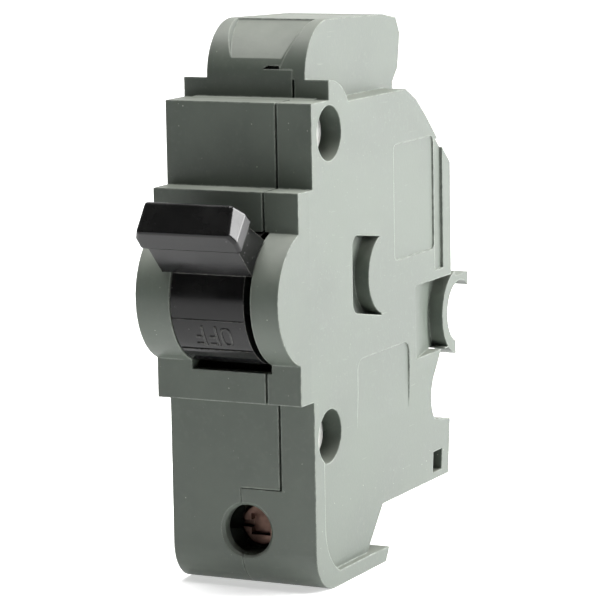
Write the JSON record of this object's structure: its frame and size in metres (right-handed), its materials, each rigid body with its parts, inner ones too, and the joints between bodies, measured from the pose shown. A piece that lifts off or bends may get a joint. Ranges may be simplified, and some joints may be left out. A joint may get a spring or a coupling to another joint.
{
  "type": "circuit breaker",
  "caption": "Single-pole plug-on circuit breaker with rocker handle, trip mechanism, bus jaw and wire terminal.",
  "frame": {"origin": "middle of the flat rear face's width, level with the handle's axis", "axes": "+X across the pole towards the cover, +Y out of the rear face, +Z towards the line end"},
  "size_m": [0.0254, 0.0793, 0.0895],
  "materials": {
    "base_moulding": "moulded, fine satin",
    "cover_moulding": "moulded, fine satin",
    "rivet_steel": "dull plated",
    "handle_black": "glossy black",
    "screw_metal": "yellow-red chromate",
    "plated_steel": "zinc plated",
    "copper": "dull copper",
    "silver_tip": "silver contact alloy",
    "fibre": "pressed fibre",
    "spring_steel": "bright wire",
    "bimetal_strip": "rolled strip",
    "braid_copper": "woven copper",
    "collar_metal": "plated"
  },
  "bodies": {
    "case": {"base_case": "base_moulding", "cover_case": "cover_moulding", "case_rivets": "rivet_steel", "handle_pin": "plated_steel", "arm_pin": "plated_steel", "fixed_contact": "silver_tip", "line_strap": "copper", "jaw_left": "copper", "jaw_right": "copper", "jaw_spring": "plated_steel", "arc_plates": "plated_steel", "arc_walls": "fibre", "vent_baffle": "fibre", "cradle_pin": "plated_steel", "toggle_spring": "spring_steel", "bimetal": "bimetal_strip", "magnet_yoke": "plated_steel", "armature_pin": "plated_steel", "armature_spring": "spring_steel", "braid": "braid_copper", "load_strap": "copper", "calibration_screw": "plated_steel", "terminal_collar": "collar_metal"},
    "handle": {"handle": "handle_black"},
    "arm": {"contact_arm": "copper", "moving_contact": "silver_tip"},
    "cradle": {"trip_cradle": "plated_steel"},
    "latch": {"armature": "plated_steel"},
    "wire_clamp": {"pressure_plate": "plated_steel"},
    "clamp_screw": {"terminal_screw": "screw_metal"}
  },
  "joints": [
    {"name": "handle_turn", "type": "hinge", "parent": "case", "child": "handle", "pos_m": [0, -0.0539, 0], "axis": [1, 0, 0], "range_deg": [0, 77]},
    {"name": "contact_arm_swing", "type": "hinge", "parent": "case", "child": "arm", "pos_m": [0, -0.0318, 0], "axis": [1, 0, 0], "range_deg": [-17.65, 0], "deforming": ["toggle_spring", "braid"]},
    {"name": "cradle_trip", "type": "hinge", "parent": "case", "child": "cradle", "pos_m": [0, -0.0415, -0.0135], "axis": [1, 0, 0], "range_deg": [0, 15]},
    {"name": "armature_pull", "type": "hinge", "parent": "case", "child": "latch", "pos_m": [0, -0.0197, -0.0308], "axis": [-1, 0, 0], "range_deg": [0, 4], "stiffness_Nm_per_rad": 0.01, "deforming": ["armature_spring"]},
    {"name": "clamp_slide", "type": "slide", "parent": "case", "child": "wire_clamp", "axis": [0, 1, 0], "range_m": [0, 0.0042]},
    {"name": "terminal_screw_turn", "type": "hinge", "parent": "wire_clamp", "child": "clamp_screw", "pos_m": [0.0005, -0.0478, -0.038], "axis": [0, 1, 0], "range_deg": [0, 1906]}
  ],
  "couplings": [
    {"joint": "contact_arm_swing", "follows": "handle_turn", "ratio": -0.2286},
    {"joint": "terminal_screw_turn", "follows": "clamp_slide", "rad_per_m": 7917.6}
  ]
}
